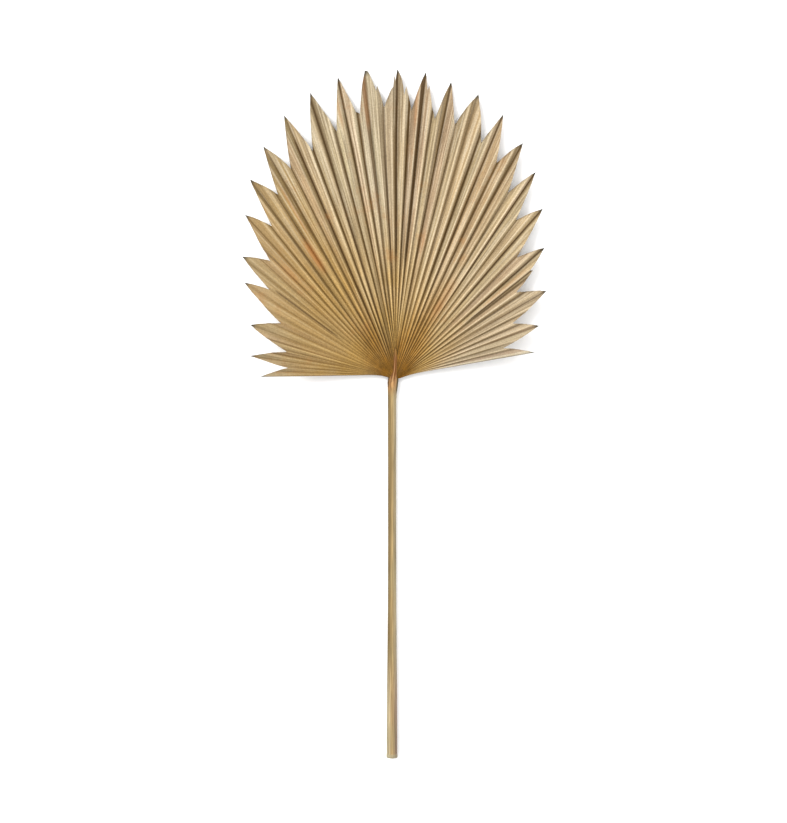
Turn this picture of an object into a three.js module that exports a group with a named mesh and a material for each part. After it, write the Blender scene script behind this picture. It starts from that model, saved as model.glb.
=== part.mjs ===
// A dried fan palm leaf, trimmed for flower arranging, lying on its back on a flat surface.
// It grew as two parts: the leaf stalk, which runs on into the blade as a short tapering
// midrib, and the blade, one stiff sheet folded into pleats that spread from the stalk's end.
// Millimetres and degrees. +Z is up, +Y runs from the cut end of the stalk to the top tooth.
// Angles are measured at the end of the stalk, from the midline towards +X.
import * as THREE from 'three';

// Driving dimensions
const STALK_LENGTH = 496;
const MIDRIB_LENGTH = 42;
const SHEET_THICKNESS = 1.2; // measured straight up, so about 0.9 across a sloping face
const ROOT_RADIUS = 9; // the pleats begin this far from the point that they spread from
const PLEAT_SLOPE = 0.62; // mean rise of a pleat's faces for each millimetre across them
const RIDGE_AT = 0.66; // the ridge's place across a pleat: the face on its right is the steeper
const EDGE_BULGE = 2.4; // the cut from a point to a notch bows outwards by about this much
const ARCH_HEIGHT = 9; // the blade's middle stands up this far between stalk and rim
const ARCH_SPAN = 385;
const RIM_DROP = 3.6; // the rim is this much lower than the sheet's root beside the stalk
const SIDE_LIFT = 24; // the lowest side teeth curl up off the surface this far
const SIDE_LIFT_FROM = 48; // degrees from the midline
const SIDE_LIFT_TO = 92;
const ROOT_HEIGHT = 7; // the sheet's height above the surface where it leaves the stalk
const STALK_AXIS_HEIGHT = 5;
const STALK_SWAY = 3.2; // the stalk hangs this far to the left of the blade's midline
const SWAY_FROM = 35; // it starts to bend beside the midrib, and is straight beyond SWAY_TO
const SWAY_TO = -45;
const STALK_SIDES = 18;
const KEEL_HEIGHT = 0.16; // a blunt ridge along the stalk's upper face, as a share of its depth
const KEEL_AT = 70; // degrees round the section, just right of the top
const KEEL_WIDTH = 26;
const BLADE_RINGS = 9;

// The trimmed edge, from the lowest left tooth round to the lowest right one. Each row is a
// tooth: the direction and reach of its point, then, on the way to the next tooth, how far
// out the notch is and how many pleats there are.
const TEETH = [
  { point: -90.5, reach: 174, notch: 137, pleats: 3 },
  { point: -81.9, reach: 190, notch: 141, pleats: 4 },
  { point: -69.7, reach: 199, notch: 162, pleats: 3 },
  { point: -57.2, reach: 234, notch: 200, pleats: 2 },
  { point: -51.1, reach: 255, notch: 224, pleats: 3 },
  { point: -42.2, reach: 292, notch: 254, pleats: 2 },
  { point: -35.9, reach: 325, notch: 282, pleats: 2 },
  { point: -29.6, reach: 352, notch: 307, pleats: 2 },
  { point: -23.0, reach: 372, notch: 310, pleats: 2 },
  { point: -17.0, reach: 382, notch: 317, pleats: 2 },
  { point: -11.4, reach: 382, notch: 326, pleats: 2 },
  { point: -6.0, reach: 375, notch: 317, pleats: 2 },
  { point: 0.2, reach: 368, notch: 313, pleats: 2 },
  { point: 6.0, reach: 373, notch: 319, pleats: 2 },
  { point: 11.2, reach: 377, notch: 326, pleats: 2 },
  { point: 16.7, reach: 379, notch: 323, pleats: 2 },
  { point: 22.3, reach: 373, notch: 312, pleats: 2 },
  { point: 28.3, reach: 352, notch: 284, pleats: 2 },
  { point: 34.0, reach: 329, notch: 260, pleats: 2 },
  { point: 40.6, reach: 296, notch: 225, pleats: 2 },
  { point: 48.4, reach: 260, notch: 193, pleats: 3 },
  { point: 59.7, reach: 228, notch: 169, pleats: 3 },
  { point: 69.9, reach: 199, notch: 144, pleats: 3 },
  { point: 79.9, reach: 184 },
];

// The stalk's half width along its length, from the cut end to the tip of the midrib
const STALK_STATIONS = [
  { y: -STALK_LENGTH, half: 6.8 },
  { y: -455, half: 6.5 },
  { y: -360, half: 6.0 },
  { y: -250, half: 5.5 },
  { y: -140, half: 5.4 },
  { y: -75, half: 5.4 },
  { y: -45, half: 5.6 },
  { y: -22, half: 5.6 },
  { y: -8, half: 6.2 },
  { y: 0, half: 7.0 },
  { y: 4, half: 6.0 },
  { y: 8, half: 3.8 },
  { y: 15, half: 2.5 },
  { y: 23, half: 1.7 },
  { y: 34, half: 0.95 },
  { y: MIDRIB_LENGTH, half: 0.35 },
];
const STALK_DEPTH_RATIO = 0.8; // depth of the section for each millimetre of its width
const MIDRIB_DEPTH = 1.6; // the midrib stays at least this deep to its tip

const bladeStraw = new THREE.MeshStandardMaterial({
  color: 0xb49a6c,
  roughness: 0.72,
  metalness: 0,
  side: THREE.DoubleSide,
});
const stalkStraw = new THREE.MeshStandardMaterial({
  color: 0xb8976b,
  roughness: 0.6,
  metalness: 0,
});

const radians = THREE.MathUtils.degToRad;

// Where on the midline a pleat starts. Those near the middle leave the midrib further up,
// and the lowest ones on each side leave the stalk a little above its end.
const MIDRIB_REACH = 39;
const MIDRIB_SPREAD = 15; // degrees
const SIDE_ROOT_RISE = 7;
function pleatRoot(angle) {
  const alongMidrib = MIDRIB_REACH * Math.exp(-((angle / MIDRIB_SPREAD) ** 2));
  return alongMidrib + SIDE_ROOT_RISE * (angle / 90) ** 4;
}

// Height of the sheet's middle above the surface, before the pleats are added
function sheetHeight(angle, distance) {
  const outward = Math.min(distance / ARCH_SPAN, 1);
  const arch = ARCH_HEIGHT * Math.sin(Math.PI * outward);
  const towardsSide = THREE.MathUtils.smoothstep(Math.abs(angle), SIDE_LIFT_FROM, SIDE_LIFT_TO);
  const sideOutward = Math.min(distance / TEETH[0].reach, 1);
  const lift = SIDE_LIFT * towardsSide * sideOutward ** 2;
  return ROOT_HEIGHT + arch + lift - RIM_DROP * outward;
}

// One column for each fold. Valleys run to the teeth's points, with ridges between them, and
// the edge runs in a slightly bowed cut from each point to the notches beside it.
function foldColumns() {
  const columns = [];
  TEETH.forEach((tooth, index) => {
    const next = TEETH[index + 1];
    if (!next) {
      columns.push({ angle: tooth.point, reach: tooth.reach, crest: -1, pitch: 0 });
      return;
    }
    const pitch = (next.point - tooth.point) / tooth.pleats;
    for (let fold = 0; fold < 2 * tooth.pleats; fold++) {
      const isRidge = fold % 2 === 1;
      const across = (Math.floor(fold / 2) + (isRidge ? RIDGE_AT : 0)) / tooth.pleats;
      const angle = THREE.MathUtils.lerp(tooth.point, next.point, across);
      const straight =
        across < 0.5
          ? THREE.MathUtils.lerp(tooth.reach, tooth.notch, across * 2)
          : THREE.MathUtils.lerp(tooth.notch, next.reach, across * 2 - 1);
      const bulge = EDGE_BULGE * Math.abs(Math.sin(2 * Math.PI * across));
      columns.push({ angle, reach: straight + bulge, crest: isRidge ? 1 : -1, pitch });
    }
  });
  columns[columns.length - 1].pitch = columns[columns.length - 2].pitch;
  return columns;
}

// A point of the sheet's middle on a fold, at a share of the way from root to edge
function sheetPoint(column, share) {
  const distance = THREE.MathUtils.lerp(ROOT_RADIUS, column.reach, share);
  const direction = radians(column.angle);
  const faceWidth = (distance * radians(column.pitch)) / 2;
  const pleat = (column.crest * PLEAT_SLOPE * faceWidth) / 2;
  return new THREE.Vector3(
    distance * Math.sin(direction),
    pleatRoot(column.angle) + distance * Math.cos(direction),
    sheetHeight(column.angle, distance) + pleat,
  );
}

// A closed solid from a grid of points on its upper face and a matching grid below it
function closedSheet(upper, lower, rows, perRow) {
  const positions = [...upper, ...lower].flatMap((point) => point.toArray());
  const faces = [];
  const top = (row, place) => row * perRow + place;
  const bottom = (row, place) => upper.length + row * perRow + place;
  const quad = (a, b, c, d) => faces.push(a, b, c, a, c, d);
  for (let row = 0; row < rows - 1; row++) {
    for (let place = 0; place < perRow - 1; place++) {
      quad(top(row, place), top(row + 1, place), top(row + 1, place + 1), top(row, place + 1));
      quad(
        bottom(row, place),
        bottom(row, place + 1),
        bottom(row + 1, place + 1),
        bottom(row + 1, place),
      );
    }
  }
  for (let row = 0; row < rows - 1; row++) {
    const outer = perRow - 1;
    quad(top(row, 0), bottom(row, 0), bottom(row + 1, 0), top(row + 1, 0));
    quad(top(row, outer), top(row + 1, outer), bottom(row + 1, outer), bottom(row, outer));
  }
  for (let place = 0; place < perRow - 1; place++) {
    const last = rows - 1;
    quad(top(0, place), top(0, place + 1), bottom(0, place + 1), bottom(0, place));
    quad(top(last, place), bottom(last, place), bottom(last, place + 1), top(last, place + 1));
  }
  const geometry = new THREE.BufferGeometry();
  geometry.setAttribute('position', new THREE.Float32BufferAttribute(positions, 3));
  geometry.setIndex(faces);
  geometry.computeVertexNormals();
  return geometry;
}

function bladeGeometry() {
  const columns = foldColumns();
  const upper = [];
  const lower = [];
  const halfThickness = new THREE.Vector3(0, 0, SHEET_THICKNESS / 2);
  for (const column of columns) {
    for (let ring = 0; ring < BLADE_RINGS; ring++) {
      const middle = sheetPoint(column, ring / (BLADE_RINGS - 1));
      upper.push(middle.clone().add(halfThickness));
      lower.push(middle.clone().sub(halfThickness));
    }
  }
  const geometry = closedSheet(upper, lower, columns.length, BLADE_RINGS);
  geometry.computeBoundingBox();
  return geometry.translate(0, 0, -geometry.boundingBox.min.z);
}

// The stalk is straight but meets the blade with a slight bend
function stalkCentre(y) {
  return -STALK_SWAY * THREE.MathUtils.smoothstep(-y, -SWAY_FROM, -SWAY_TO);
}

function stalkSection(station) {
  const { y, half } = station;
  const halfDepth = Math.max(half * STALK_DEPTH_RATIO, MIDRIB_DEPTH / 2);
  const rise = ((ROOT_HEIGHT - STALK_AXIS_HEIGHT) * Math.max(y, 0)) / MIDRIB_LENGTH;
  const axisHeight = Math.max(STALK_AXIS_HEIGHT, halfDepth) + rise;
  const section = [];
  for (let side = 0; side < STALK_SIDES; side++) {
    const turn = (side * 360) / STALK_SIDES;
    const keel = KEEL_HEIGHT * Math.exp(-(((turn - KEEL_AT) / KEEL_WIDTH) ** 2));
    section.push(
      new THREE.Vector3(
        stalkCentre(y) + half * Math.cos(radians(turn)),
        y,
        axisHeight + halfDepth * (1 + keel) * Math.sin(radians(turn)),
      ),
    );
  }
  return section;
}

// The sections are joined side to side, and each end is closed by a fan round its middle
function stalkGeometry() {
  const sections = STALK_STATIONS.map(stalkSection);
  const points = sections.flat();
  const faces = [];
  const at = (station, side) => station * STALK_SIDES + (side % STALK_SIDES);
  for (let station = 0; station < sections.length - 1; station++) {
    for (let side = 0; side < STALK_SIDES; side++) {
      const [a, b] = [at(station, side), at(station, side + 1)];
      const [c, d] = [at(station + 1, side + 1), at(station + 1, side)];
      faces.push(a, c, b, a, d, c);
    }
  }
  const last = sections.length - 1;
  for (const [station, section] of [
    [0, sections[0]],
    [last, sections[last]],
  ]) {
    const middle = new THREE.Vector3();
    section.forEach((point) => middle.addScaledVector(point, 1 / STALK_SIDES));
    const centre = points.push(middle) - 1;
    for (let side = 0; side < STALK_SIDES; side++) {
      const edge = [at(station, side), at(station, side + 1)];
      faces.push(centre, ...(station === 0 ? edge : edge.reverse()));
    }
  }
  const geometry = new THREE.BufferGeometry();
  const positions = points.flatMap((point) => point.toArray());
  geometry.setAttribute('position', new THREE.Float32BufferAttribute(positions, 3));
  geometry.setIndex(faces);
  geometry.computeVertexNormals();
  return geometry;
}

const blade = new THREE.Mesh(bladeGeometry(), bladeStraw);
blade.name = 'leaf_blade';

const stalk = new THREE.Mesh(stalkGeometry(), stalkStraw);
stalk.name = 'leaf_stalk';

// The origin is the middle of the leaf's footprint, on the surface that it lies on
const leaf = new THREE.Group();
leaf.add(blade, stalk);
const extent = new THREE.Box3().setFromObject(leaf);
const middle = extent.getCenter(new THREE.Vector3());
leaf.position.set(-middle.x, -middle.y, -extent.min.z);

export default leaf;
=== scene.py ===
import bpy
import numpy as np
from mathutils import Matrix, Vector


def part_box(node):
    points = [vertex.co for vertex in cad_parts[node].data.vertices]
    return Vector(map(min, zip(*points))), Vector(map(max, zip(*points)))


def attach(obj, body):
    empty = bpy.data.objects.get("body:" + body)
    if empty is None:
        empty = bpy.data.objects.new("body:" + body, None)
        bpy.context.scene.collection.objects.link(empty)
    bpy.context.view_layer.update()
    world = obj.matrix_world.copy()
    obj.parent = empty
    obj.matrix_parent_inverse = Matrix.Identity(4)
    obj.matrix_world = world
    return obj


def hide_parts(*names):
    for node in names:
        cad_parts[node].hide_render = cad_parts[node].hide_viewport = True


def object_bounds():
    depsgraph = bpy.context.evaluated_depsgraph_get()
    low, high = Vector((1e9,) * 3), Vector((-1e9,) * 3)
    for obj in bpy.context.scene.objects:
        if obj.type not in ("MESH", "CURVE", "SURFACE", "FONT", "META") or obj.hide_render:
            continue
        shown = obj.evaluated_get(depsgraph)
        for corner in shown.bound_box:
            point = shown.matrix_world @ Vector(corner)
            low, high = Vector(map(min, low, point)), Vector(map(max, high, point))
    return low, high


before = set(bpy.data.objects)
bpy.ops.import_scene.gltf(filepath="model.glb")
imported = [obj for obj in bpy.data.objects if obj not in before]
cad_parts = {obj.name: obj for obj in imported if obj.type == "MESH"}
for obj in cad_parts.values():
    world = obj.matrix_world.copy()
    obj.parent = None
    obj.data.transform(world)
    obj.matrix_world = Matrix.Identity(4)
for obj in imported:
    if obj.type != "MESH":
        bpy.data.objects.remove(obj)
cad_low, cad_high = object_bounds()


# ---------------------------------------------------------------------------
# Camera. It looks straight down on the leaf, which fills the height of the
# picture with its top tooth at the top and the cut end of the stalk below.
# ---------------------------------------------------------------------------
PICTURE_HEIGHT = 1.0738  # metres of table from the top to the bottom of the picture
LENS = 85.0              # millimetres
SENSOR = 36.0            # millimetres, along the picture's longer side, which is its height
CAMERA_SHIFT = Vector((-0.0013, 0.0025, 0.0))   # the leaf lies a little off the middle

leaf_middle = (cad_low + cad_high) / 2
camera_data = bpy.data.cameras.new("camera")
camera_data.lens = LENS
camera_data.sensor_width = SENSOR
camera = bpy.data.objects.new("camera", camera_data)
camera_height = PICTURE_HEIGHT / 2 / (SENSOR / 2 / LENS)
camera.location = leaf_middle + CAMERA_SHIFT + Vector((0.0, 0.0, camera_height))
bpy.context.collection.objects.link(camera)
bpy.context.scene.camera = camera
bpy.context.scene.view_settings.view_transform = "Standard"


# ---------------------------------------------------------------------------
# Table and studio light. A matt white table top, a large soft box well beyond
# the leaf's upper left, and an even white room that fills most of the shade.
# ---------------------------------------------------------------------------
TABLE_SIZE = 14.0
TABLE_WHITE = (0.93, 0.93, 0.93)
TABLE_ROUGHNESS = 0.9
ROOM_WHITE = (1.0, 1.0, 1.0)
ROOM_STRENGTH = 1.33
SOFT_BOX_SIZE = 3.0
SOFT_BOX_POWER = 262.0
SOFT_BOX_PLACE = Vector((-3.3, 2.3, 3.6))


def new_material(name):
    """An empty node material with its Principled shader, ready for a piece's own nodes."""
    material = bpy.data.materials.new(name)
    material.use_nodes = True
    return material, material.node_tree, material.node_tree.nodes["Principled BSDF"]


def mesh_piece(name, corners, faces, material):
    """A smooth mesh object from arrays of corners and faces."""
    mesh = bpy.data.meshes.new(name)
    mesh.from_pydata([tuple(c) for c in corners], [], [tuple(f) for f in faces])
    mesh.materials.append(material)
    mesh.polygons.foreach_set("use_smooth", [True] * len(mesh.polygons))
    mesh.update()
    piece = bpy.data.objects.new(name, mesh)
    bpy.context.collection.objects.link(piece)
    return piece


table_paint, _, table_shader = new_material("table_white")
table_shader.inputs["Base Color"].default_value = (*TABLE_WHITE, 1.0)
table_shader.inputs["Roughness"].default_value = TABLE_ROUGHNESS
half_table = TABLE_SIZE / 2
table = mesh_piece(
    "table",
    [(-half_table, -half_table, 0), (half_table, -half_table, 0),
     (half_table, half_table, 0), (-half_table, half_table, 0)],
    [(0, 1, 2, 3)],
    table_paint,
)

soft_box_data = bpy.data.lights.new("soft_box", "AREA")
soft_box_data.shape = "SQUARE"
soft_box_data.size = SOFT_BOX_SIZE
soft_box_data.energy = SOFT_BOX_POWER
soft_box = bpy.data.objects.new("soft_box", soft_box_data)
soft_box.location = SOFT_BOX_PLACE
soft_box.rotation_mode = "QUATERNION"
soft_box.rotation_quaternion = (leaf_middle - SOFT_BOX_PLACE).to_track_quat("-Z", "Y")
bpy.context.collection.objects.link(soft_box)

room = bpy.data.worlds.new("room")
room.use_nodes = True
room.node_tree.nodes["Background"].inputs["Color"].default_value = (*ROOM_WHITE, 1.0)
room.node_tree.nodes["Background"].inputs["Strength"].default_value = ROOM_STRENGTH
bpy.context.scene.world = room


# ---------------------------------------------------------------------------
# Leaf blade. One stiff sheet of dry straw-coloured leaf, grown in one with the
# stalk and folded in pleats that spread from its end. The rim was cut with
# scissors into pointed teeth, and the sides curled up as it dried.
# ---------------------------------------------------------------------------
MM = 0.001
SHEET_THICKNESS = 0.5 * MM
ROOT_RADIUS = 2.0        # millimetres, as are all the lengths down to the mesh
ROOT_HEIGHT = 7.0        # of the sheet where it leaves the stalk
ARCH_HEIGHT = 9.0        # the blade's middle stands clear of the table
ARCH_SPAN = 385.0
RIM_DROP = 3.6           # the rim is this much lower than the root
SIDE_LIFT = 24.0         # the lowest side teeth curl up
SIDE_LIFT_FROM, SIDE_LIFT_TO = 48.0, 92.0
SIDE_REACH = 174.0       # the lift grows up to this far out
MIDRIB_REACH = 39.0      # the middle pleats leave the midrib this far up it
MIDRIB_SPREAD = 15.0     # degrees
SIDE_ROOT_RISE = 7.0
PLEAT_SLOPE = 0.78       # mean rise of a pleat's faces for each millimetre across them
RIDGE_AT = 0.70          # the ridge's place across a pleat: its right face is the steeper
RIDGE_STRAY = (-0.10, 0.07)      # how far one ridge may lie from that place
FOLD_DEPTHS = (0.8, 1.2)         # the shallowest and the deepest fold, as shares of the mean
FOLD_ROUNDING = 0.2              # 0 for sharp folds, 1 for round ones
FOLD_WANDERS = (0.02, 0.13)      # degrees that a fold wanders to either side
WANDER_LENGTH = 46.0             # one radian of that wave, as are the lengths of the next two
FOLD_SWELL = 0.14                # a fold deepens and fades by this share along its length
SWELL_LENGTH = 61.0
RIM_OPENING = 0.45               # at the rim the pleats are this much shallower
RIM_OPENING_FROM = 0.72          # share of the way out where they start to open
FACE_BOWS = (-0.06, 0.09)        # hollow to full, as shares of a face's width
VEIN_HEIGHT = 0.17               # fine veins along the faces
WAVE_HEIGHT = 1.1                # the whole sheet is a little wavy
WAVE_LENGTH, WAVE_DEGREES = 70.0, 9.0
FULL_WANDER_AT, FULL_VEINS_AT, FULL_WAVE_AT = 60.0, 150.0, 200.0   # they grow up to here
CURL_FROM, CURL_SPAN = 0.8, 0.2  # each point curls over the last fifth of the way out
EDGE_BULGE = 3.0                 # the scissors' cut from a point to a notch bows outwards
SHORT_CUT = 50.0                 # shorter cuts than this bow less
ROUGH_EDGE = (-0.5, 0.4)         # the cut edge is this ragged
EDGE_TUCK = 4.0                  # beside the stalk the lowest pleats turn down against it
TUCK_FROM, TUCK_TO = 60.0, 88.0  # degrees
TUCK_REACH = 18.0
RINGS = 44
RING_SPACING = 0.9               # below 1 the rings lie closer towards the rim

# The teeth, round the rim from the lowest on the left. Each has the direction of its point
# in degrees and its reach, the direction and reach of the notch after it, the pleats from
# this point to the next, and how far the point curled up as it dried.
TEETH = [
    (-91.4, 176, -86.1, 140, 3, 2.0),
    (-82.2, 191, -77.0, 145, 4, 4.0),
    (-70.1, 201, -64.5, 166, 3, 3.0),
    (-57.4, 235, -54.7, 202, 2, 0.5),
    (-51.3, 257, -46.5, 226, 3, 2.0),
    (-42.4, 293, -38.9, 258, 2, 0.0),
    (-36.0, 325, -32.5, 287, 2, 1.5),
    (-29.6, 352, -26.5, 307, 2, 0.0),
    (-23.0, 374, -20.2, 312, 2, 3.0),
    (-17.0, 384, -14.0, 318, 2, 0.5),
    (-11.4, 384, -8.3, 324, 2, 2.5),
    (-6.2, 376, -2.6, 320, 2, 0.0),
    (0.3, 369, 3.8, 317, 2, 4.0),
    (6.1, 374, 9.3, 319, 2, 1.0),
    (11.2, 377, 13.7, 327, 2, 0.0),
    (16.7, 380, 20.2, 323, 2, 2.0),
    (22.3, 373, 25.1, 311, 2, 0.5),
    (28.3, 352, 31.1, 285, 2, 3.0),
    (34.0, 329, 37.1, 261, 2, 0.0),
    (40.7, 296, 44.8, 225, 2, 1.0),
    (48.6, 260, 54.3, 194, 3, 3.5),
    (59.8, 229, 64.8, 168, 3, 1.0),
    (70.1, 199, 74.8, 145, 3, 3.0),
    (80.3, 184, 0, 0, 0, 1.0),
]

# Smaller corners that the scissors left on some teeth: direction and reach
NICKS = [
    (-9.1, 328), (-5.5, 374), (-4.2, 344), (-3.9, 350),
    (-0.9, 343), (-0.6, 345), (-0.3, 362), (-0.05, 353),
    (1.4, 354), (2.1, 335), (2.4, 347),
    (6.75, 351), (7.2, 358), (8.3, 334),
    (51.0, 226), (51.5, 229),
]

tooth_angle, tooth_reach, notch_angle, notch_reach, pleat_count, tooth_curl = np.array(TEETH).T
notch_angle, notch_reach, pleat_count = notch_angle[:-1], notch_reach[:-1], pleat_count[:-1]
tooth_pleat = np.concatenate([[0], np.cumsum(pleat_count)])   # pleat number at each point
PLEATS = int(tooth_pleat[-1])

chance = np.random.default_rng(24)


def by_direction(angle, pairs):
    """A value that changes round the fan, from pairs of direction and value."""
    directions, values = zip(*pairs)
    return np.interp(angle, directions, values)


# Folds: even ones are valleys, which run to the points, and odd ones are ridges
folds = np.arange(2 * PLEATS + 1)
is_ridge = folds % 2 == 1
stray = RIDGE_AT - 0.5 + chance.uniform(*RIDGE_STRAY, len(folds))
fold_place = folds / 2 + np.where(is_ridge, stray, 0)
fold_angle = np.interp(fold_place, tooth_pleat, tooth_angle)
fold_crest = np.where(is_ridge, 1.0, -1.0)
fold_depth = chance.uniform(*FOLD_DEPTHS, len(folds))

# The lower left side was pressed flatter
PRESSED = [(-91, 0.9), (-78, 0.75), (-65, 0.6), (-48, 0.7), (-34, 1.0)]
fold_depth = fold_depth * by_direction(fold_angle, PRESSED)

# Columns of the mesh: several across each face, closest beside its folds
ACROSS = np.array([0.0, 0.05, 0.13, 0.27, 0.41, 0.55, 0.69, 0.83, 0.94])
face_index = np.append(np.repeat(np.arange(2 * PLEATS), len(ACROSS)), 2 * PLEATS - 1)
face_share = np.append(np.tile(ACROSS, 2 * PLEATS), 1.0)
columns = len(face_index)


def across_face(values):
    """A value for each column, from the values on the folds at the face's two sides."""
    return values[face_index] * (1 - face_share) + values[face_index + 1] * face_share


def on_face(values):
    """A value for each column, from one value for each face, shared where two faces meet."""
    before = values[np.maximum(face_index - 1, 0)]
    return np.where(face_share == 0, (values[face_index] + before) / 2, values[face_index])


column_place = across_face(fold_place)
column_angle = across_face(fold_angle)
straight_crest = across_face(fold_crest)
rounded_crest = np.sin(np.pi / 2 * straight_crest)
column_crest = (1 - FOLD_ROUNDING) * straight_crest + FOLD_ROUNDING * rounded_crest
pleat_pitch = np.repeat(np.diff(tooth_angle) / pleat_count, pleat_count.astype(int))
column_pitch = np.interp(column_place, np.arange(PLEATS) + 0.5, pleat_pitch)


def outline_reach(angle):
    """How far the cut rim lies from the pleats' root in each direction."""
    corners = np.concatenate([tooth_angle, notch_angle, [nick[0] for nick in NICKS]])
    reaches = np.concatenate([tooth_reach, notch_reach, [nick[1] for nick in NICKS]])
    nearest = np.abs(angle[:, None] - corners).argmin(axis=0)
    order = np.argsort(angle[nearest])
    corner_angle, corner_reach = angle[nearest][order], reaches[order]
    reach = 1 / np.interp(angle, corner_angle, 1 / corner_reach)   # straight cuts
    cut = np.searchsorted(corner_angle, angle, side="right").clip(1, len(corner_angle) - 1)
    cut_start, cut_stop = corner_angle[cut - 1], corner_angle[cut]
    share_of_cut = (angle - cut_start) / np.maximum(cut_stop - cut_start, 0.01)
    cut_length = np.abs(corner_reach[cut] - corner_reach[cut - 1])
    bulge = EDGE_BULGE * np.minimum(cut_length / SHORT_CUT, 1)
    return reach + bulge * np.sin(np.pi * share_of_cut)


def pleat_root(angle):
    """Where on the midline a pleat starts."""
    along_midrib = MIDRIB_REACH * np.exp(-(angle / MIDRIB_SPREAD) ** 2)
    return along_midrib + SIDE_ROOT_RISE * (angle / 90) ** 4


def smoothstep(value, start, stop):
    """0 before the start, 1 past the stop, and a smooth change between them."""
    share = np.clip((value - start) / (stop - start), 0, 1)
    return share * share * (3 - 2 * share)


def sheet_height(angle, distance):
    """Height of the sheet above the table before it is pleated."""
    outward = np.minimum(distance / ARCH_SPAN, 1)
    arch = ARCH_HEIGHT * np.sin(np.pi * outward)
    towards_side = smoothstep(np.abs(angle), SIDE_LIFT_FROM, SIDE_LIFT_TO)
    lift = SIDE_LIFT * towards_side * np.minimum(distance / SIDE_REACH, 1) ** 2
    return ROOT_HEIGHT + arch + lift - RIM_DROP * outward


column_reach = outline_reach(column_angle) + chance.uniform(*ROUGH_EDGE, columns)
share = np.linspace(0, 1, RINGS)[:, None] ** RING_SPACING
distance = ROOT_RADIUS + (column_reach - ROOT_RADIUS) * share

# Each fold wanders a little on its way out, and its depth swells and fades
wander_phase = across_face(chance.uniform(0, 2 * np.pi, len(folds)))
wander_size = across_face(chance.uniform(*FOLD_WANDERS, len(folds)))
wander = wander_size * np.sin(distance / WANDER_LENGTH + wander_phase)
angle = column_angle + wander * np.minimum(distance / FULL_WANDER_AT, 1)
swell = 1 + FOLD_SWELL * np.sin(distance / SWELL_LENGTH + 2 * wander_phase)
to_rim = distance / column_reach
opened = 1 - RIM_OPENING * smoothstep(to_rim, RIM_OPENING_FROM, 1.0)

face_width = distance * np.radians(column_pitch) / 2
pleat = column_crest * across_face(fold_depth) * swell * opened * PLEAT_SLOPE * face_width / 2
bow_size = across_face(chance.uniform(*FACE_BOWS, len(folds)))
bow = bow_size * face_width * (1 - straight_crest ** 2)
vein = chance.uniform(-1, 1, columns)
vein_relief = VEIN_HEIGHT * vein * np.minimum(distance / FULL_VEINS_AT, 1)
curl_share = np.clip((to_rim - CURL_FROM) / CURL_SPAN, 0, 1)
curl = np.interp(column_angle, tooth_angle, tooth_curl) * curl_share ** 2
wave = WAVE_HEIGHT * np.sin(distance / WAVE_LENGTH + column_angle / WAVE_DEGREES)
wave = wave * np.minimum(distance / FULL_WAVE_AT, 1)
height = sheet_height(angle, distance) + pleat + bow + vein_relief + curl + wave
height_above_table = height - height.min()

# The sheet is laid on the CAD blade: same top point, same middle, lowest point on the table
blade_low, blade_high = (Vector(corner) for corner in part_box("leaf_blade"))
across = distance * np.sin(np.radians(angle))
outward = pleat_root(column_angle) + distance * np.cos(np.radians(angle))
tuck = smoothstep(np.abs(column_angle), TUCK_FROM, TUCK_TO)
outward = outward - EDGE_TUCK * tuck * np.exp(-(distance / TUCK_REACH) ** 2)
midline = (blade_low.x + blade_high.x) / 2 - (across.min() + across.max()) / 2 * MM
hub_line = blade_high.y - outward.max() * MM

top = np.stack([midline + across * MM, hub_line + outward * MM,
                height_above_table * MM + SHEET_THICKNESS], axis=-1).reshape(-1, 3)
under = top - np.array([0, 0, SHEET_THICKNESS])
corner = np.arange(RINGS * columns).reshape(RINGS, columns)
below = corner + RINGS * columns


def strip(a, b):
    """Faces between two rows of corners."""
    return np.stack([a[:-1], a[1:], b[1:], b[:-1]], axis=-1).reshape(-1, 4)


sheet_top = np.stack([corner[:-1, 1:], corner[:-1, :-1], corner[1:, :-1], corner[1:, 1:]],
                     axis=-1).reshape(-1, 4)
sheet_under = np.stack([below[:-1, :-1], below[:-1, 1:], below[1:, 1:], below[1:, :-1]],
                       axis=-1).reshape(-1, 4)
sheet_rim = np.concatenate([
    strip(corner[-1], below[-1]),
    strip(below[0], corner[0]),
    strip(below[:, -1], corner[:, -1]),
    strip(corner[:, 0], below[:, 0]),
])

blade_straw, blade_tree, blade_shader = new_material("blade_straw")
blade = mesh_piece("palm_blade", np.concatenate([top, under]),
                   np.concatenate([sheet_top, sheet_under, sheet_rim]), blade_straw)

# Lines along the folds, for painted shade over the valleys' own brown and a painted highlight
# over the ridges' pale ribs: how near a corner is to its valley and to its ridge. A line takes
# up no more than a share of its face, and a core over 1 keeps its middle at full strength.
VALLEY_WIDTH, VALLEY_SHARE, VALLEY_CORE = 1.9, 0.5, 1.6
RIDGE_WIDTH, RIDGE_SHARE, RIDGE_CORE = 1.6, 0.45, 1.5
face_span = face_width * 2 * np.where(face_index % 2 == 0, RIDGE_AT, 1 - RIDGE_AT)
valley_width = np.minimum(VALLEY_WIDTH, VALLEY_SHARE * face_span)
ridge_width = np.minimum(RIDGE_WIDTH, RIDGE_SHARE * face_span)
from_valley = (1 + straight_crest) / 2 * face_span
from_ridge = (1 - straight_crest) / 2 * face_span
in_valley = np.clip(VALLEY_CORE - VALLEY_CORE * from_valley / valley_width, 0, 1)
on_ridge = np.clip(RIDGE_CORE - RIDGE_CORE * from_ridge / ridge_width, 0, 1)

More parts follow.
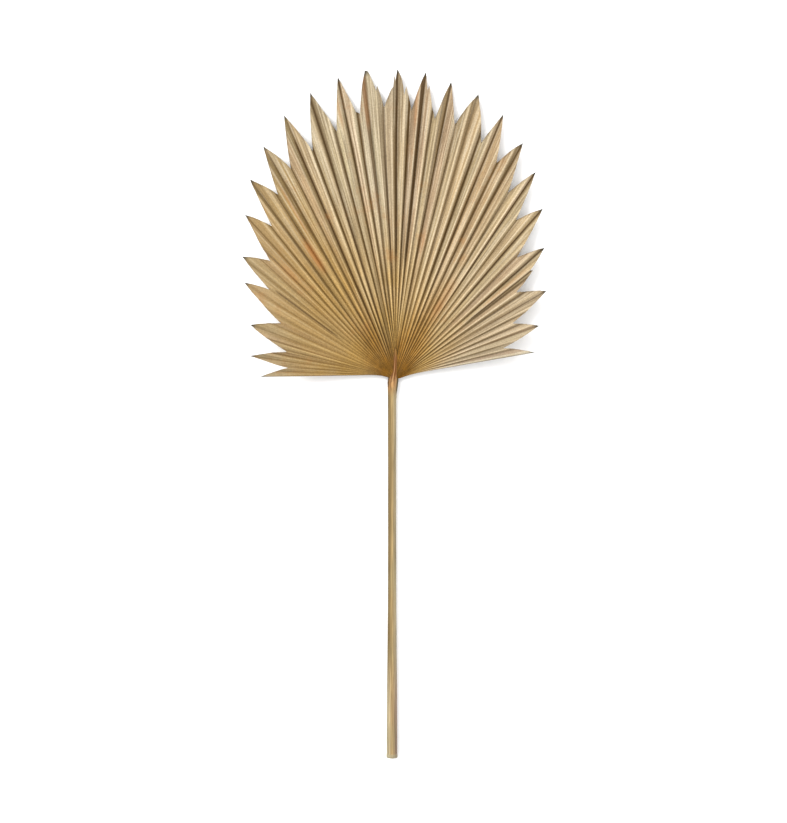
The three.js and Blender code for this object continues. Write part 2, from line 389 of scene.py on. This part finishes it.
# The lines differ in strength round the fan, are softer a third of the way out on the right,
# and about half of all folds are faint
FAINT_FOLD, CLEAR_FOLD = 0.45, 0.95
SOFTER, SOFTER_AT, SOFTER_SPAN = 0.3, 105.0, 45.0
VALLEY_STAIN_AND_SHADE = [(-91, 0.7), (-78, 0.5), (-65, 0.25), (-50, 0.4), (-34, 0.8), (-20, 1.0),
                (20, 1.0), (45, 0.85), (80, 0.45)]
RIDGE_RIB_AND_HIGHLIGHT = [(-91, 0.25), (-65, 0.15), (-45, 0.3), (-20, 0.6), (0, 0.6), (15, 0.85),
              (60, 0.8), (80, 0.6)]
on_right = smoothstep(column_angle, 12, 28)
gentle = 1 - SOFTER * np.exp(-((distance - SOFTER_AT) / SOFTER_SPAN) ** 2) * on_right
fold_strength = np.where(chance.random(len(folds)) < 0.5, FAINT_FOLD, CLEAR_FOLD)
fold_strength = fold_strength * np.where(is_ridge, by_direction(fold_angle, RIDGE_RIB_AND_HIGHLIGHT),
                                         by_direction(fold_angle, VALLEY_STAIN_AND_SHADE))
# Painted shade along the valleys, over their own brown, and a painted highlight over the pale
# ribs on the ridges
valley_stain_and_shade = in_valley * across_face(fold_strength) * gentle
ridge_rib_and_highlight = on_ridge * across_face(fold_strength) * gentle * smoothstep(distance, 14, 45)


def line_mark(direction, half_width, starts, stops):
    """A soft-edged mark along one direction, which comes and goes over two distances."""
    off_line = np.radians(column_angle - direction) * distance
    along_line = smoothstep(distance, *starts) - smoothstep(distance, *stops)
    return np.exp(-(off_line / half_width) ** 2) * along_line


# Folds darkest of all, with painted shade in their deep creases over their own brown:
# direction, where along the fold it starts and stops, half the width of the mark, strength
DARK_FOLD_FADE = 15
SHADED_DARK_FOLDS = [
    (-77.5, 60, 150, 0.9, 0.45),
    (-53.6, 95, 187, 1.2, 0.85),
    (-36.5, 60, 300, 0.9, 0.45),
    (-29.5, 30, 330, 1.0, 0.65),
    (-23.1, 25, 330, 1.2, 0.95),
    (-17.3, 25, 370, 1.3, 0.85),
    (-12.6, 25, 300, 1.0, 0.50),
    (-9.5, 22, 120, 0.8, 0.60),
    (-6.9, 20, 376, 1.0, 0.65),
    (-2.8, 30, 320, 0.9, 0.75),
    (0.3, 120, 369, 1.5, 0.90),
    (5.6, 120, 374, 1.6, 0.80),
    (10.5, 150, 377, 1.0, 0.45),
    (22.0, 60, 200, 0.9, 0.40),
    (40.6, 120, 296, 1.0, 0.60),
    (51.2, 120, 232, 1.3, 0.90),
]
dark_fold_shade = np.zeros_like(distance)
narrowed = np.clip(distance / 90, 0.4, 1)     # the stains narrow towards the root
for direction, start, stop, half_width, strength in SHADED_DARK_FOLDS:
    mark = line_mark(direction, half_width * narrowed, (start - DARK_FOLD_FADE, start + DARK_FOLD_FADE),
                 (stop, stop + DARK_FOLD_FADE))
    dark_fold_shade = np.maximum(dark_fold_shade, strength * mark)

# Rust along a few pleats: direction, where it starts and stops, half width, strength
RUST_FADE = 12
RUST_STREAKS = [
    (-33.3, 172, 214, 4.5, 0.75),
    (-44.6, 180, 210, 5.0, 0.35),
    (-31.0, 225, 290, 1.5, 0.40),
    (-12.5, 320, 384, 2.0, 0.35),
    (-6.6, 300, 376, 2.4, 0.45),
    (4.9, 300, 374, 2.2, 0.40),
    (12.6, 155, 175, 2.2, 0.40),
    (31.0, 95, 150, 5.0, 0.30),
    (50.0, 150, 225, 2.0, 0.30),
]
rust = np.zeros_like(distance)
for direction, start, stop, half_width, strength in RUST_STREAKS:
    mark = line_mark(direction, half_width, (start - RUST_FADE, start + RUST_FADE),
                 (stop - RUST_FADE, stop + RUST_FADE))
    rust = np.maximum(rust, strength * mark)

# The root dried brown, furthest out in the folds to either side of the midrib, and the
# gold beyond it fades sooner on the right. Each fades between two shares of its reach.
BROWN_FADE, GOLDEN_FADE = (0.35, 1.35), (0.2, 1.1)
BROWN_REACH = [(-91, 34), (-60, 48), (-45, 66), (-27, 92), (-12, 52), (0, 46), (12, 78),
               (27, 130), (40, 68), (55, 40), (81, 20)]
GOLDEN_REACH = [(-91, 205), (-65, 240), (-40, 285), (-30, 300), (0, 190), (30, 170),
                (60, 130), (80, 60)]
from_hub = distance + pleat_root(column_angle)
brown_reach = by_direction(column_angle, BROWN_REACH)
browned = 1 - smoothstep(from_hub, *(fade * brown_reach for fade in BROWN_FADE))
golden_reach = by_direction(column_angle, GOLDEN_REACH)
golden = 1 - smoothstep(distance, *(fade * golden_reach for fade in GOLDEN_FADE))

# Where the blade dried evenly, low down on both sides, its fibres show less
CALM = [(-91, 0.4), (-75, 0.8), (-60, 1.0), (-45, 0.9), (-34, 0.5), (-18, 0.1), (10, 0.1),
        (18, 0.4), (60, 0.4), (74, 0.9)]
calm = by_direction(column_angle, CALM)

# The right edge of the blade, half a pleat wide, is paler and greyer
hem = smoothstep(column_place, PLEATS - 0.55, PLEATS - 0.35) * smoothstep(distance, 20, 70)

# How far each corner of the sheet is from the nearest point of a tooth, in metres
tip_places = np.stack([
    midline + tooth_reach * np.sin(np.radians(tooth_angle)) * MM,
    hub_line + (pleat_root(tooth_angle) + tooth_reach * np.cos(np.radians(tooth_angle))) * MM,
], axis=-1)
to_tip = np.linalg.norm(top[:, None, :2] - tip_places, axis=-1).min(axis=1)


def lay_values(piece, name, values):
    """Puts one number on every corner of a piece, for its material to read."""
    layer = piece.data.attributes.new(name, "FLOAT", "POINT")
    layer.data.foreach_set("value", np.asarray(values, np.float32).ravel())


def both_sides(values):
    """The same values for the upper and the under side of the blade."""
    return np.tile(np.broadcast_to(values, distance.shape).ravel(), 2)


lay_values(blade, "pleat", both_sides(column_place))
lay_values(blade, "outward", both_sides(distance * MM))
lay_values(blade, "from_tip", np.tile(to_tip, 2))
lay_values(blade, "tone", both_sides(on_face(chance.uniform(-1, 1, 2 * PLEATS))))
lay_values(blade, "tint", both_sides(on_face(chance.uniform(-1, 1, 2 * PLEATS))))
# The fold lines and the darkest folds carry painted shade, and the ridges a painted highlight
for name, values in [("valley_stain_and_shade", valley_stain_and_shade), ("ridge_rib_and_highlight", ridge_rib_and_highlight), ("dark_fold_shade", dark_fold_shade), ("browned", browned),
                     ("golden", golden), ("to_rim", to_rim), ("rust", rust), ("calm", calm),
                     ("hem", hem)]:
    lay_values(blade, name, both_sides(values))
lay_values(blade, "vein", both_sides(vein))
# Painted shade on the steep right face of each pleat, which turns away from the soft box
lay_values(blade, "steep_face_shade", both_sides(on_face(np.arange(2 * PLEATS) % 2)))


class Nodes:
    """Short ways to add and join the nodes of one material."""

    def __init__(self, tree):
        self.tree = tree

    def add(self, kind, **settings):
        node = self.tree.nodes.new(kind)
        for name, value in settings.items():
            setattr(node, name, value)
        return node

    def feed(self, socket, value):
        """Joins another node's output to a socket, or sets a plain number or colour on it."""
        if isinstance(value, bpy.types.NodeSocket):
            self.tree.links.new(value, socket)
        elif isinstance(value, tuple) and len(value) == 3 and socket.type == "RGBA":
            socket.default_value = (*value, 1.0)
        else:
            socket.default_value = value

    def value(self, name):
        """Reads a number that was laid on the mesh."""
        return self.add("ShaderNodeAttribute", attribute_name=name).outputs["Fac"]

    def maths(self, operation, a, b=0.0, clamp=False):
        node = self.add("ShaderNodeMath", operation=operation, use_clamp=clamp)
        self.feed(node.inputs[0], a)
        self.feed(node.inputs[1], b)
        return node.outputs[0]

    def spread(self, value, low, high, to_low=0.0, to_high=1.0):
        """Turns the range from low to high into another range, with soft ends."""
        node = self.add("ShaderNodeMapRange", interpolation_type="SMOOTHSTEP")
        for socket, number in zip(node.inputs, (value, low, high, to_low, to_high)):
            self.feed(socket, number)
        return node.outputs[0]

    def point(self, x, y, z=0.0):
        node = self.add("ShaderNodeCombineXYZ")
        for socket, number in zip(node.inputs, (x, y, z)):
            self.feed(socket, number)
        return node.outputs[0]

    def stretch(self, place, sizes):
        node = self.add("ShaderNodeVectorMath", operation="MULTIPLY")
        self.feed(node.inputs[0], place)
        self.feed(node.inputs[1], sizes)
        return node.outputs[0]

    def noise(self, place, scale, detail=2.0, roughness=0.5):
        node = self.add("ShaderNodeTexNoise")
        self.feed(node.inputs["Vector"], place)
        node.inputs["Scale"].default_value = scale
        node.inputs["Detail"].default_value = detail
        node.inputs["Roughness"].default_value = roughness
        return node.outputs["Fac"]

    def mix(self, share, a, b):
        """Goes from colour a to colour b as the share goes from 0 to 1."""
        node = self.add("ShaderNodeMix", data_type="RGBA", blend_type="MIX")
        self.feed(node.inputs[0], share)
        self.feed(node.inputs[6], a)
        self.feed(node.inputs[7], b)
        return node.outputs[2]

    def scaled(self, colour, amount):
        node = self.add("ShaderNodeVectorMath", operation="SCALE")
        self.feed(node.inputs[0], colour)
        self.feed(node.inputs[3], amount)
        return node.outputs[0]

    def ramp(self, value, stops):
        """A colour band: each stop is a place from 0 to 1 and the colour there."""
        node = self.add("ShaderNodeValToRGB")
        self.feed(node.inputs[0], value)
        band = node.color_ramp
        for place, _ in stops[2:]:
            band.elements.new(place)
        for element, (place, colour) in zip(band.elements, sorted(stops)):
            element.position = place
            element.color = (*colour, 1.0)
        return node.outputs[0]

    def bump(self, height, distance, under=None):
        """Fine relief, this many metres high, over any coarser relief under it."""
        node = self.add("ShaderNodeBump")
        self.feed(node.inputs["Height"], height)
        node.inputs["Distance"].default_value = distance
        node.inputs["Strength"].default_value = 1.0
        if under is not None:
            self.feed(node.inputs["Normal"], under)
        return node.outputs[0]


nodes = Nodes(blade_tree)
pleat_number = nodes.value("pleat")
along = nodes.value("outward")
place = nodes.add("ShaderNodeTexCoord").outputs["Object"]
patches = nodes.noise(place, 14.0, 3.0)
blotches = nodes.noise(place, 24.0, 4.0, 0.65)


def along_pleats(per_pleat, per_metre, detail, roughness):
    """Noise drawn out into streaks that run the length of the pleats."""
    streak_place = nodes.point(nodes.maths("MULTIPLY", pleat_number, per_pleat),
                               nodes.maths("MULTIPLY", along, per_metre))
    return nodes.noise(streak_place, 1.0, detail, roughness)


# Straw from the left side round to the right: golden part of the way up the left, palest
# beside the top and in the lowest left corner, buff on the right
side = nodes.maths("MULTIPLY", pleat_number, 1 / PLEATS)
straw = nodes.ramp(side, [
    (0.0, (0.395, 0.330, 0.212)),
    (0.15, (0.264, 0.200, 0.116)),
    (0.28, (0.296, 0.195, 0.081)),
    (0.36, (0.268, 0.188, 0.082)),
    (0.45, (0.386, 0.312, 0.190)),
    (0.50, (0.324, 0.270, 0.182)),
    (0.545, (0.286, 0.210, 0.114)),
    (0.58, (0.282, 0.200, 0.107)),
    (0.64, (0.345, 0.248, 0.131)),
    (0.71, (0.306, 0.211, 0.111)),
    (0.80, (0.378, 0.280, 0.154)),
    (0.89, (0.320, 0.239, 0.138)),
    (1.0, (0.298, 0.234, 0.162)),
])

# No two faces dried alike: some are paler, some pinkish and some a little green
GREENISH_STRAW = (0.335, 0.285, 0.160)
PINKISH_STRAW = (0.385, 0.255, 0.165)
tint = nodes.value("tint")
straw = nodes.mix(nodes.spread(tint, 0.1, 1.0, 0.0, 0.30), straw, GREENISH_STRAW)
straw = nodes.mix(nodes.spread(tint, -0.1, -1.0, 0.0, 0.40), straw, PINKISH_STRAW)
straw = nodes.scaled(straw, nodes.spread(nodes.value("tone"), -1.0, 1.0, 0.84, 1.10))

# Gold and then mottled brown towards the root, with an uneven edge, and the pale right edge
GOLDEN_STRAW = (0.300, 0.178, 0.048)
ROOT_BROWN = (0.165, 0.070, 0.005)
HEM_STRAW = (0.36, 0.33, 0.255)
uneven = nodes.spread(patches, 0.3, 0.7, 0.75, 1.15)
gold_share = nodes.maths("MULTIPLY", nodes.value("golden"), uneven, clamp=True)
straw = nodes.mix(gold_share, straw, GOLDEN_STRAW)
brown_share = nodes.maths("MULTIPLY", nodes.value("browned"), uneven, clamp=True)
straw = nodes.mix(brown_share, straw, ROOT_BROWN)
mottle = nodes.noise(place, 120.0, 3.0, 0.6)
mottled = nodes.scaled(straw, nodes.spread(mottle, 0.36, 0.64, 0.78, 1.22))
straw = nodes.mix(brown_share, straw, mottled)
straw = nodes.mix(nodes.value("hem"), straw, HEM_STRAW)

# The furthest teeth dried a little darker
straw = nodes.scaled(straw, nodes.spread(along, 0.25, 0.34, 1.0, 0.88))
plain_straw = straw


def root_to_rim(at_rim, where_golden, at_root):
    """One colour that follows the blade from the brown root through gold to the rim."""
    return nodes.mix(brown_share, nodes.mix(gold_share, at_rim, where_golden), at_root)


# Long fibres: darker and paler streaks that run the length of each pleat
pale_fibre = root_to_rim((0.50, 0.425, 0.310), (0.41, 0.280, 0.105), (0.23, 0.115, 0.020))
brown_fibre = root_to_rim((0.150, 0.105, 0.060), (0.130, 0.065, 0.012), (0.080, 0.032, 0.003))
fibres = along_pleats(5.0, 6.0, 4.0, 0.65)
strands = along_pleats(3.3, 4.0, 1.0, 0.5)
fine_fibres = along_pleats(8.5, 11.0, 2.0, 0.6)
straw = nodes.scaled(straw, nodes.spread(fibres, 0.34, 0.66, 1.22, 0.76))
straw = nodes.scaled(straw, nodes.spread(nodes.value("vein"), -1.0, 1.0, 0.86, 1.12))
straw = nodes.mix(nodes.spread(strands, 0.56, 0.59, 0.0, 0.40), straw, pale_fibre)
straw = nodes.mix(nodes.spread(strands, 0.44, 0.41, 0.0, 0.42), straw, brown_fibre)
straw = nodes.mix(nodes.spread(fine_fibres, 0.55, 0.58, 0.0, 0.46), straw, pale_fibre)
straw = nodes.mix(nodes.spread(fine_fibres, 0.45, 0.42, 0.0, 0.50), straw, brown_fibre)

# Near the root the pleats lie gathered in darker and paler groups
gathers = along_pleats(0.9, 8.0, 2.0, 0.7)
gathered = nodes.scaled(straw, nodes.spread(gathers, 0.38, 0.62, 0.62, 1.35))
straw = nodes.mix(gold_share, straw, gathered)
straw = nodes.mix(nodes.maths("MULTIPLY", nodes.value("calm"), 0.7), straw, plain_straw)

# Folds: painted shade along the valleys over their own brown and on the steep faces that turn
# from the soft box, and a painted highlight over the pale ribs along the ridges
STEEP_SHADE_BROWN = (0.175, 0.098, 0.022)
VALLEY_STAIN_AND_SHADE_BROWN = (0.060, 0.030, 0.005)
DARK_FOLD_SHADE_BROWN = (0.045, 0.020, 0.003)
rib_and_highlight_straw = root_to_rim((0.58, 0.47, 0.31), (0.50, 0.355, 0.155), (0.42, 0.255, 0.080))
# Painted shade on the steep faces, fading where the pleats open at the rim
closed = nodes.spread(nodes.value("to_rim"), 0.70, 1.0, 1.0, 0.25)
steep_face_shade = nodes.maths("MULTIPLY", nodes.value("steep_face_shade"), nodes.maths("MULTIPLY", closed, 0.36))
straw = nodes.mix(steep_face_shade, straw, STEEP_SHADE_BROWN)
straw = nodes.mix(nodes.maths("MULTIPLY", nodes.value("valley_stain_and_shade"), 0.95), straw, VALLEY_STAIN_AND_SHADE_BROWN)
straw = nodes.mix(nodes.maths("MULTIPLY", nodes.value("ridge_rib_and_highlight"), 0.9), straw, rib_and_highlight_straw)
# Painted shade, over their own brown, in the darkest folds
straw = nodes.mix(nodes.value("dark_fold_shade"), straw, DARK_FOLD_SHADE_BROWN)

# The fine grain of the dry skin
grain = nodes.noise(place, 650.0, 2.0, 0.6)
straw = nodes.scaled(straw, nodes.spread(grain, 0.36, 0.64, 0.86, 1.13))

# Blotches of rust where the leaf dried unevenly, and grey points
BLOTCH_RUST = (0.28, 0.125, 0.035)
STREAK_RUST = (0.33, 0.135, 0.038)
POINT_GREY = (0.06, 0.055, 0.042)
straw = nodes.mix(nodes.spread(blotches, 0.57, 0.76, 0.0, 0.42), straw, BLOTCH_RUST)
straw = nodes.mix(nodes.value("rust"), straw, STREAK_RUST)
grey_point = nodes.spread(nodes.value("from_tip"), 0.010, 0.002, 0.0, 0.85)
straw = nodes.mix(grey_point, straw, POINT_GREY)
nodes.feed(blade_shader.inputs["Base Color"], straw)

# Matt, with the fibres in fine relief
blade_shader.inputs["Specular IOR Level"].default_value = 0.1
nodes.feed(blade_shader.inputs["Roughness"], nodes.spread(fibres, 0.2, 0.8, 0.5, 0.75))
relief = nodes.bump(fibres, 0.0005)
relief = nodes.bump(fine_fibres, 0.0002, under=relief)
nodes.feed(blade_shader.inputs["Normal"], relief)

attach(blade, "root")
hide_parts("leaf_blade")


# ---------------------------------------------------------------------------
# Leaf stalk. One hard, fibrous stem with a blunt keel along its top, cut off
# square at the foot. It grew in one with the blade: it widens where the blade
# joins it and runs on up the middle of the sheet as a thin midrib.
# ---------------------------------------------------------------------------
STALK_DEPTH_RATIO = 0.8  # depth of the section for each millimetre of its width
THINNEST_HALF_DEPTH = 0.9
STALK_AXIS_HEIGHT = 5.0
MIDRIB_STANDS = 0.12     # the tip of the midrib stands up this far from the sheet
ROOT_STANDS = 6          # and its root this many times as far again
KEEL_HEIGHT = 0.16       # share of the stalk's half depth
KEEL_AT = np.radians(70)          # just right of the top
KEEL_WIDTH = np.radians(26)
FLUTE_HEIGHT = 0.055     # low flutes run the length of the stalk
FLUTE_COUNTS = (11, 17, 26)
STALK_SIDES = 44
FOOT_TO, FOOT_RINGS = 8, 9                    # rings lie close together at the cut foot
SHAFT_FROM, SHAFT_TO, SHAFT_RINGS = 13, -32, 96
HUB_FROM, HUB_RINGS = -30, 61                 # and from below the hub to the midrib's tip

# From the cut foot to the tip of the midrib: the distance above the hub, half the stalk's
# width there, and how far it lies to the left of the blade's midline
STALK_SHAPE = [
    (-495.2, 6.7, 4.7), (-494, 7.3, 4.7), (-491.5, 7.3, 4.7), (-489.5, 6.8, 4.7),
    (-455, 6.8, 4.7), (-360, 6.1, 4.6), (-300, 5.6, 4.5), (-220, 5.3, 4.5), (-140, 5.3, 4.5),
    (-60, 5.5, 4.5), (-26, 5.6, 4.5), (-18, 5.9, 4.2), (-10, 6.5, 3.8), (-4, 6.9, 3.6),
    (2, 6.9, 3.0), (7, 5.8, 2.1), (11, 4.5, 1.4), (16, 3.8, 0.9), (24, 3.5, 0.5),
    (32, 3.1, 0.2), (37, 2.5, 0.0), (40, 1.6, 0.0), (42, 0.5, 0.0),
]
shape_at, shape_half, shape_left = np.array(STALK_SHAPE).T
stalk_length, midrib_length = -shape_at[0], shape_at[-1]
stations = np.concatenate([
    np.linspace(-stalk_length, -stalk_length + FOOT_TO, FOOT_RINGS),
    np.linspace(-stalk_length + SHAFT_FROM, SHAFT_TO, SHAFT_RINGS),
    np.linspace(HUB_FROM, midrib_length, HUB_RINGS),
])[:, None]
turn = np.linspace(0, 2 * np.pi, STALK_SIDES, endpoint=False)[None, :]

# It thickens and thins a little along its length, and stands on the table up to the hub,
# from where it climbs onto the sheet
half = np.interp(stations, shape_at, shape_half)
half = half * (1 + 0.012 * np.sin(stations / 37) + 0.008 * np.sin(stations / 13 + 1))
half_depth = np.maximum(half * STALK_DEPTH_RATIO, THINNEST_HALF_DEPTH)
keel = KEEL_HEIGHT * np.exp(-((turn - KEEL_AT) / KEEL_WIDTH) ** 2)
flutes = sum(
    np.sin(count * turn + phase + 0.4 * np.sin(stations / 90 + phase))
    for count, phase in zip(FLUTE_COUNTS, chance.uniform(0, 2 * np.pi, len(FLUTE_COUNTS)))
)
round_out = 1 + FLUTE_HEIGHT * flutes / half
sway = -np.interp(stations, shape_at, shape_left)
on_sheet = smoothstep(stations, -8, 14)
stands = MIDRIB_STANDS * (1 + ROOT_STANDS * smoothstep(stations, 24, 4))
sheet_at = sheet_height(0.0, np.maximum(stations, 0)) - height.min() + stands
axis_height = np.maximum(STALK_AXIS_HEIGHT, half_depth) * (1 - on_sheet)
axis_height = axis_height + (sheet_at - half_depth) * on_sheet

stalk_x = midline + (sway + half * np.cos(turn) * round_out) * MM
stalk_y = hub_line + np.broadcast_to(stations, stalk_x.shape) * MM
stalk_z = (axis_height + half_depth * (1 + keel) * np.sin(turn) * round_out) * MM
stalk_z = np.maximum(stalk_z, 0)
rings = np.stack([stalk_x, stalk_y, stalk_z], axis=-1)

# The cut foot: rings that close in across the end, roughened where the fibres tore
CUT_RINGS = (0.93, 0.75, 0.5, 0.25)
TORN_FIBRES = (-0.35, 0.25)
foot_middle = rings[0].mean(axis=0)
cut_rings = []
for size in CUT_RINGS:
    torn = chance.uniform(*TORN_FIBRES, STALK_SIDES) * MM
    ring = foot_middle + (rings[0] - foot_middle) * size
    ring[:, 1] += torn
    cut_rings.insert(0, ring)
rings = np.concatenate([np.array(cut_rings), rings])
stalk_corners = np.concatenate([rings.reshape(-1, 3), [foot_middle], [rings[-1].mean(axis=0)]])
around = np.arange(len(rings) * STALK_SIDES).reshape(len(rings), STALK_SIDES)
around = np.concatenate([around, around[:, :1]], axis=1)
stalk_sides = np.stack([around[:-1, :-1], around[:-1, 1:], around[1:, 1:], around[1:, :-1]],
                       axis=-1).reshape(-1, 4)
foot_corner, tip_corner = len(stalk_corners) - 2, len(stalk_corners) - 1
stalk_ends = [(foot_corner, b, a) for a, b in zip(around[0], around[0, 1:])]
stalk_ends += [(tip_corner, a, b) for a, b in zip(around[-1], around[-1, 1:])]

stalk_straw, stalk_tree, stalk_shader = new_material("stalk_straw")
stalk = mesh_piece("palm_stalk", stalk_corners,
                   [*(tuple(f) for f in stalk_sides.tolist()), *stalk_ends], stalk_straw)

# -1 on the stalk's left flank, 0 on its top and 1 on its right flank
from_middle = np.broadcast_to(np.cos(turn), stalk_x.shape)
side_to_side = np.concatenate([np.zeros((len(CUT_RINGS), STALK_SIDES)), from_middle]).ravel()
lay_values(stalk, "flank", np.append(side_to_side, [0, 0]))
lay_values(stalk, "up_stalk", stalk_corners[:, 1] - hub_line)

# Straw across the stalk: dark on its left and pale on its right, and the other way round at
# the foot. Its right flank is lightened with painted light where it turns away from the soft
# box.
STALK_GREENISH = (0.22, 0.180, 0.092)
HUB_BROWN = (0.330, 0.165, 0.060)
MIDRIB_BROWN = (0.150, 0.060, 0.013)
MIDRIB_TIP_BROWN = (0.190, 0.098, 0.014)
nodes = Nodes(stalk_tree)
flank = nodes.value("flank")
up_stalk = nodes.value("up_stalk")
place = nodes.add("ShaderNodeTexCoord").outputs["Object"]
upper = nodes.ramp(nodes.spread(flank, -1.0, 1.0), [
    (0.0, (0.125, 0.086, 0.036)),
    (0.16, (0.165, 0.115, 0.048)),
    (0.36, (0.235, 0.162, 0.070)),
    (0.60, (0.300, 0.215, 0.100)),
    (0.80, (0.295, 0.222, 0.120)),
    (1.0, (0.310, 0.255, 0.160)),
])
lower = nodes.ramp(nodes.spread(flank, -1.0, 1.0), [
    (0.0, (0.255, 0.215, 0.135)),
    (0.22, (0.345, 0.265, 0.150)),
    (0.42, (0.280, 0.190, 0.088)),
    (0.65, (0.310, 0.212, 0.105)),
    (0.85, (0.245, 0.172, 0.100)),
    (1.0, (0.215, 0.150, 0.108)),
])
straw = nodes.mix(nodes.spread(up_stalk, -0.34, -0.44), upper, lower)
streaks = nodes.noise(nodes.stretch(place, (700.0, 9.0, 700.0)), 1.0, 4.0, 0.65)
fine_streaks = nodes.noise(nodes.stretch(place, (1900.0, 26.0, 1900.0)), 1.0, 3.0, 0.6)
patches = nodes.noise(nodes.stretch(place, (60.0, 16.0, 60.0)), 1.0, 3.0)
straw = nodes.mix(nodes.spread(patches, 0.48, 0.66, 0.0, 0.4), straw, STALK_GREENISH)
straw = nodes.mix(nodes.spread(up_stalk, -0.024, -0.003, 0.0, 0.7), straw, HUB_BROWN)
straw = nodes.mix(nodes.spread(up_stalk, -0.003, 0.009, 0.0, 0.97), straw, MIDRIB_BROWN)
straw = nodes.mix(nodes.spread(up_stalk, 0.029, 0.037, 0.0, 0.9), straw, MIDRIB_TIP_BROWN)
straw = nodes.scaled(straw, nodes.spread(streaks, 0.34, 0.66, 1.28, 0.70))
straw = nodes.scaled(straw, nodes.spread(fine_streaks, 0.34, 0.66, 0.82, 1.18))

# Thin pale and dark lines up the midrib: how far across, half width, strength and colour
MIDRIB_LINES = [
    (-0.10, 0.07, 0.60, (0.46, 0.270, 0.130)),
    (-0.72, 0.09, 0.35, (0.38, 0.220, 0.095)),
    (0.52, 0.06, 0.45, (0.40, 0.210, 0.095)),
    (-0.38, 0.11, 0.75, (0.075, 0.022, 0.006)),
    (0.22, 0.10, 0.75, (0.085, 0.022, 0.006)),
    (0.84, 0.08, 0.70, (0.070, 0.022, 0.008)),
]
for line_at, half_width, strength, colour in MIDRIB_LINES:
    off_line = nodes.maths("ABSOLUTE", nodes.maths("SUBTRACT", flank, line_at))
    on_line = nodes.spread(off_line, 1.6 * half_width, 0.4 * half_width, 0.0, strength)
    up_midrib = nodes.spread(up_stalk, -0.014, 0.004)
    straw = nodes.mix(nodes.maths("MULTIPLY", on_line, up_midrib), straw, colour)

# Where the blade joins, painted shade over the join's own darker colour makes the stalk's
# right edge dark green and its left ear brown
JOIN_SHADE_GREEN = (0.050, 0.046, 0.022)
JOIN_SHADE_BROWN = (0.060, 0.028, 0.010)
shaded_green_edge = nodes.maths("MULTIPLY", nodes.spread(flank, 0.62, 0.80),
                         nodes.spread(up_stalk, -0.020, -0.012))
straw = nodes.mix(nodes.maths("MULTIPLY", shaded_green_edge, 0.85), straw, JOIN_SHADE_GREEN)
shaded_brown_ear = nodes.maths("MULTIPLY", nodes.spread(flank, -0.55, -0.78),
                        nodes.spread(up_stalk, -0.011, -0.006))
straw = nodes.mix(nodes.maths("MULTIPLY", shaded_brown_ear, 0.85), straw, JOIN_SHADE_BROWN)

# The dry grey-green lip of the cut foot
LIP_STRAW = (0.270, 0.245, 0.160)
straw = nodes.mix(nodes.spread(up_stalk, -0.4895, -0.4915, 0.0, 0.6), straw, LIP_STRAW)
nodes.feed(stalk_shader.inputs["Base Color"], straw)

# A low sheen, with the fibres in fine relief
stalk_shader.inputs["Specular IOR Level"].default_value = 0.08
nodes.feed(stalk_shader.inputs["Roughness"], nodes.spread(streaks, 0.2, 0.8, 0.42, 0.68))
relief = nodes.bump(streaks, 0.0004)
relief = nodes.bump(fine_streaks, 0.00015, under=relief)
nodes.feed(stalk_shader.inputs["Normal"], relief)

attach(stalk, "root")
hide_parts("leaf_stalk")
